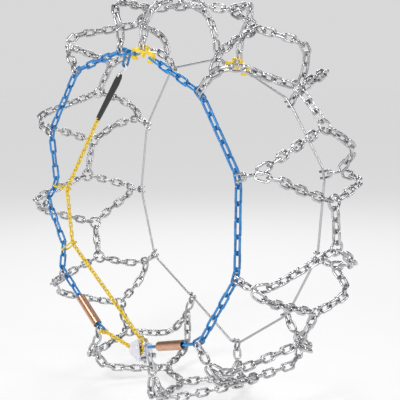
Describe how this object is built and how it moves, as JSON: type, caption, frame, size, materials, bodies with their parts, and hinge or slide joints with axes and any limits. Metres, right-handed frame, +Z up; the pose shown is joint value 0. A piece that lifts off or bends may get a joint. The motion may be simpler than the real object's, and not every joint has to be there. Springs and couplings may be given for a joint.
{
  "type": "tire snow chain",
  "caption": "Steel snow chain net for a truck tyre, with a coloured side chain, closing hook, tensioning chain, ratchet lock, chain guides and a rubber strap.",
  "frame": {"origin": "centre of the tyre that the net is fitted to, on the wheel axis at mid width", "axes": "+Y along the wheel axis toward the inner sidewall, so the coloured outer side faces -Y; +Z up in the fitted pose, closing hook near the top"},
  "size_m": [1.1316, 0.3734, 1.1234],
  "materials": {
    "plated_steel": "bright zinc plated, worn",
    "bright_steel": "satin",
    "cable_steel": "stranded wire rope",
    "blue_paint": "gloss enamel",
    "yellow_paint": "gloss enamel",
    "copper_tube": "satin copper plated",
    "lock_plate": "satin",
    "strap_rubber": "matte"
  },
  "bodies": {
    "net": {"closing_hook": "yellow_paint", "end_shackle": "yellow_paint", "guide_lower": "yellow_paint", "guide_upper": "yellow_paint", "hanger_link": "blue_paint", "inner_cable": "cable_steel", "inner_cable_eyes": "cable_steel", "inner_closing_hook": "yellow_paint", "inner_connectors_left": "plated_steel", "inner_connectors_right": "plated_steel", "inner_junctions": "plated_steel", "lock_cheek": "lock_plate", "lock_frame": "lock_plate", "lock_pins": "bright_steel", "net_cell_01": "plated_steel", "net_cell_02": "plated_steel", "net_cell_03": "plated_steel", "net_cell_04": "plated_steel", "net_cell_05": "plated_steel", "net_cell_06": "plated_steel", "net_cell_07": "plated_steel", "net_cell_08": "plated_steel", "net_cell_09": "plated_steel", "net_cell_10": "plated_steel", "net_cell_11": "plated_steel", "outer_chain_left": "blue_paint", "outer_chain_right": "blue_paint", "outer_connectors_left": "plated_steel", "outer_connectors_right": "plated_steel", "outer_junctions": "plated_steel", "ring_pair_01": "plated_steel", "ring_pair_02": "plated_steel", "ring_pair_03": "plated_steel", "ring_pair_04": "plated_steel", "ring_pair_05": "plated_steel", "ring_pair_06": "plated_steel", "ring_pair_07": "plated_steel", "ring_pair_08": "plated_steel", "ring_pair_09": "plated_steel", "ring_pair_10": "plated_steel", "ring_pair_11": "plated_steel", "strap": "strap_rubber", "strap_hook": "bright_steel", "tension_chain_1": "yellow_paint", "tension_chain_2": "yellow_paint", "tension_chain_3": "yellow_paint", "tension_chain_4": "yellow_paint"},
    "cover_tube_left": {"cover_tube_left": "copper_tube"},
    "cover_tube_right": {"cover_tube_right": "copper_tube"},
    "lock_pawl": {"lock_pawl": "bright_steel"},
    "lock_roller": {"lock_roller": "bright_steel"},
    "shackle_pin": {"shackle_pin": "yellow_paint"}
  },
  "joints": [
    {"name": "cover_tube_right_spin", "type": "hinge", "parent": "net", "child": "cover_tube_right", "pos_m": [0.17643, -0.167, -0.36796], "axis": [-0.9666, 0, -0.2563], "continuous": true},
    {"name": "cover_tube_left_spin", "type": "hinge", "parent": "net", "child": "cover_tube_left", "pos_m": [-0.26592, -0.167, -0.32419], "axis": [0.8163, 0, -0.5776], "continuous": true},
    {"name": "lock_roller_spin", "type": "hinge", "parent": "net", "child": "lock_roller", "pos_m": [0.03496, -0.167, -0.4025], "axis": [0, 1, 0], "continuous": true},
    {"name": "lock_pawl_lift", "type": "hinge", "parent": "net", "child": "lock_pawl", "pos_m": [0.03998, -0.167, -0.4372], "axis": [0, 1, 0], "range_deg": [-15, 0], "stiffness_Nm_per_rad": 0.05, "springref_deg": 11.46},
    {"name": "shackle_pin_spin", "type": "hinge", "parent": "net", "child": "shackle_pin", "pos_m": [-0.15043, -0.167, -0.39638], "axis": [0, 1, 0], "continuous": true}
  ]
}
